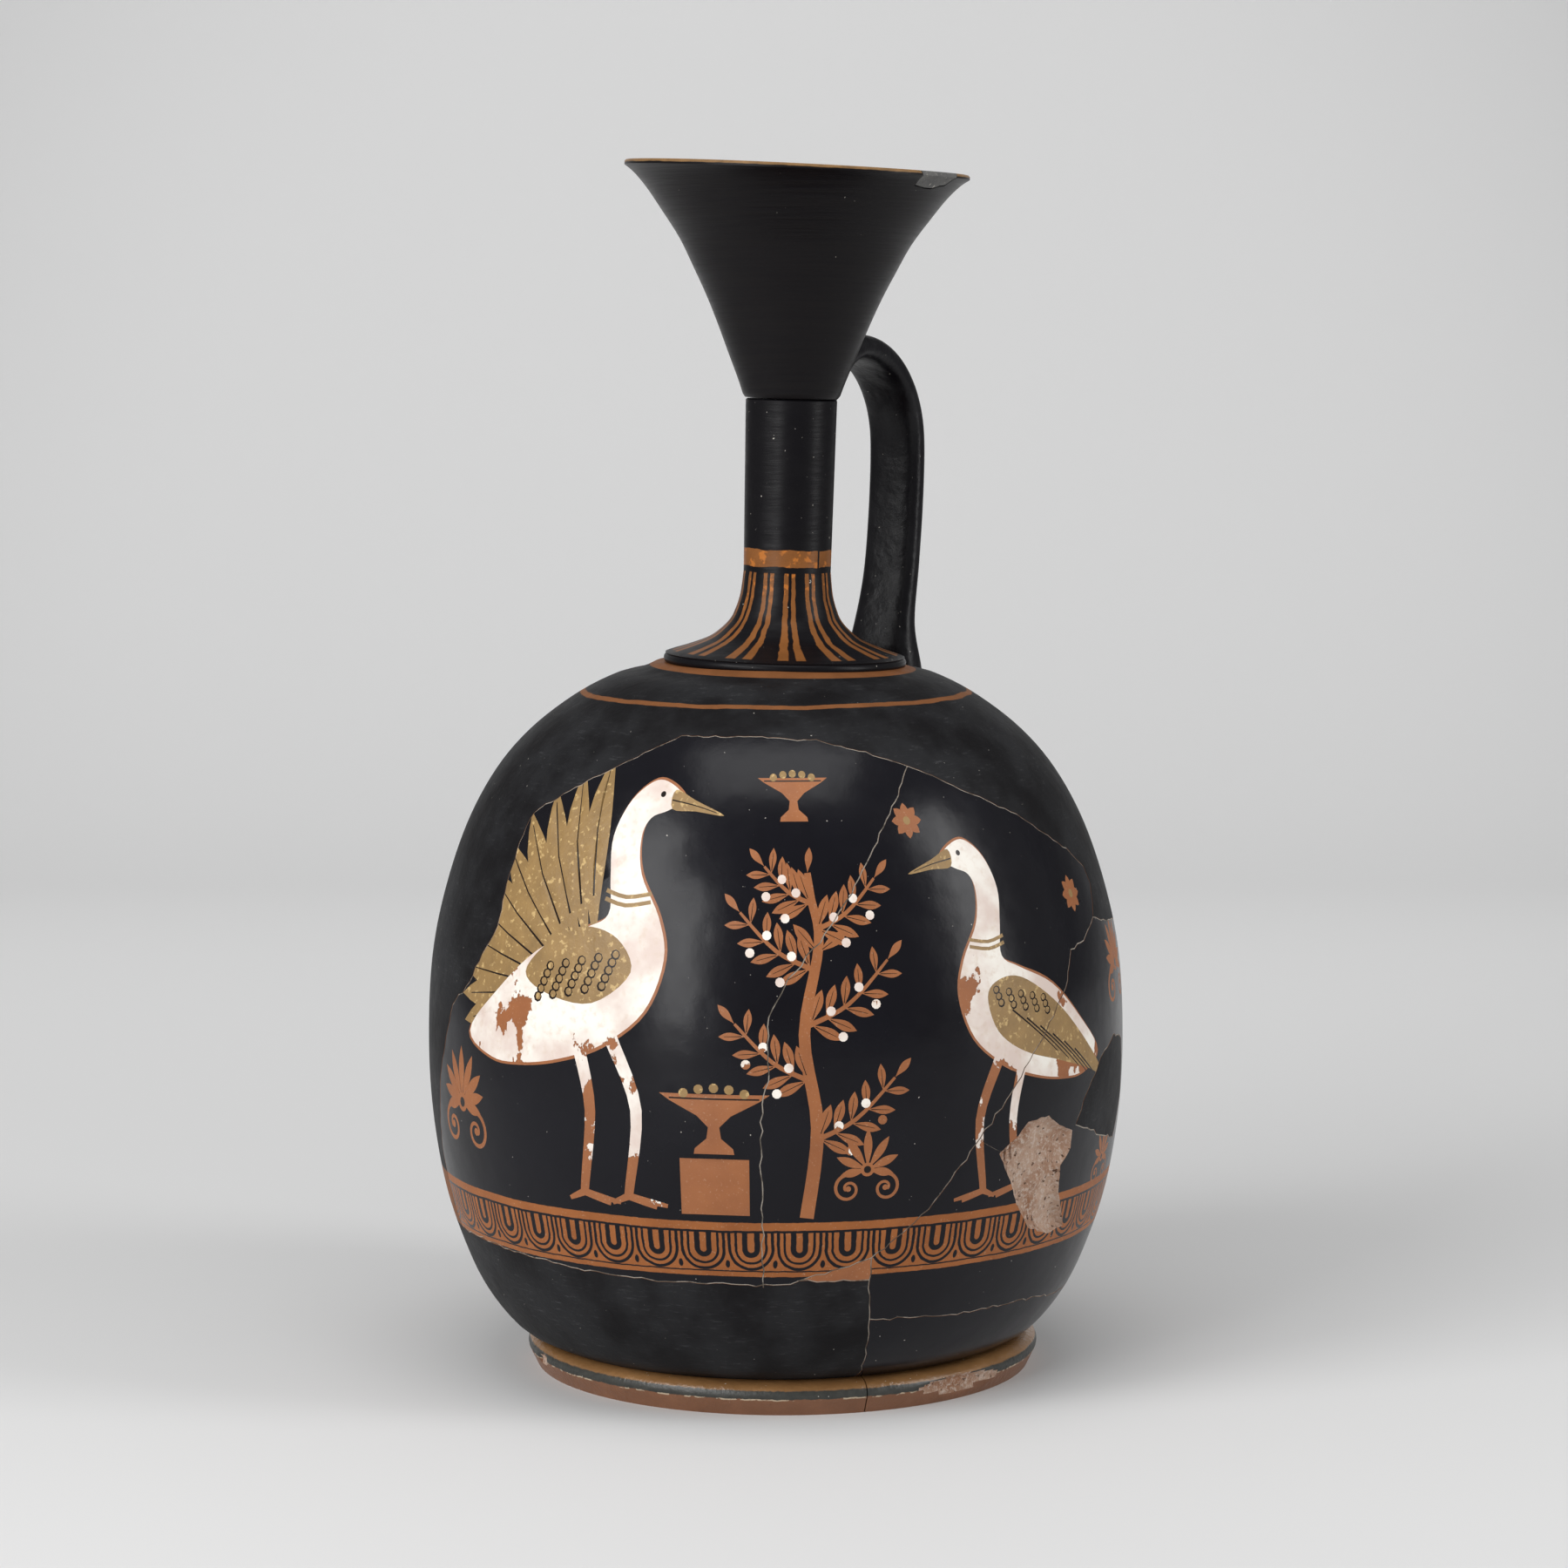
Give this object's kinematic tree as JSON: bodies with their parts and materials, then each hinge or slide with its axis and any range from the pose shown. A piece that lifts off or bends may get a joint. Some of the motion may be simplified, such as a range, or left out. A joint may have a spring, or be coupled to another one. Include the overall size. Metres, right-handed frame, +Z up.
{
  "type": "oil jar",
  "caption": "Squat clay oil jar with a trumpet mouth, slim neck, strap handle and low ring foot, black with reserved bands, broken and mended from sherds and fills.",
  "frame": {"origin": "centre of the body's resting plane, on the body's axis", "axes": "+Z up the body's axis, -Y towards the painted front, +X to the front's right; the handle is behind, towards +Y and +X"},
  "size_m": [0.1746, 0.175, 0.3019],
  "materials": {
    "black_gloss": "semi-gloss black slip over orange clay",
    "painted_fill": "matt black paint over a plaster fill",
    "fired_clay": "smooth unglazed orange-brown clay",
    "plaster_fill": "rough grey plaster"
  },
  "bodies": {
    "root": {"mouth": "black_gloss", "rim_fill": "plaster_fill", "neck": "black_gloss", "handle": "black_gloss", "shoulder_and_back_fill": "painted_fill", "sherd_left": "black_gloss", "sherd_centre": "black_gloss", "sherd_right": "black_gloss", "side_fill": "painted_fill", "band_fill": "fired_clay", "lower_wall_fill": "painted_fill", "lower_wall_sherd": "black_gloss", "foot_left": "fired_clay", "foot_right": "fired_clay", "floor": "fired_clay"}
  },
  "joints": []
}
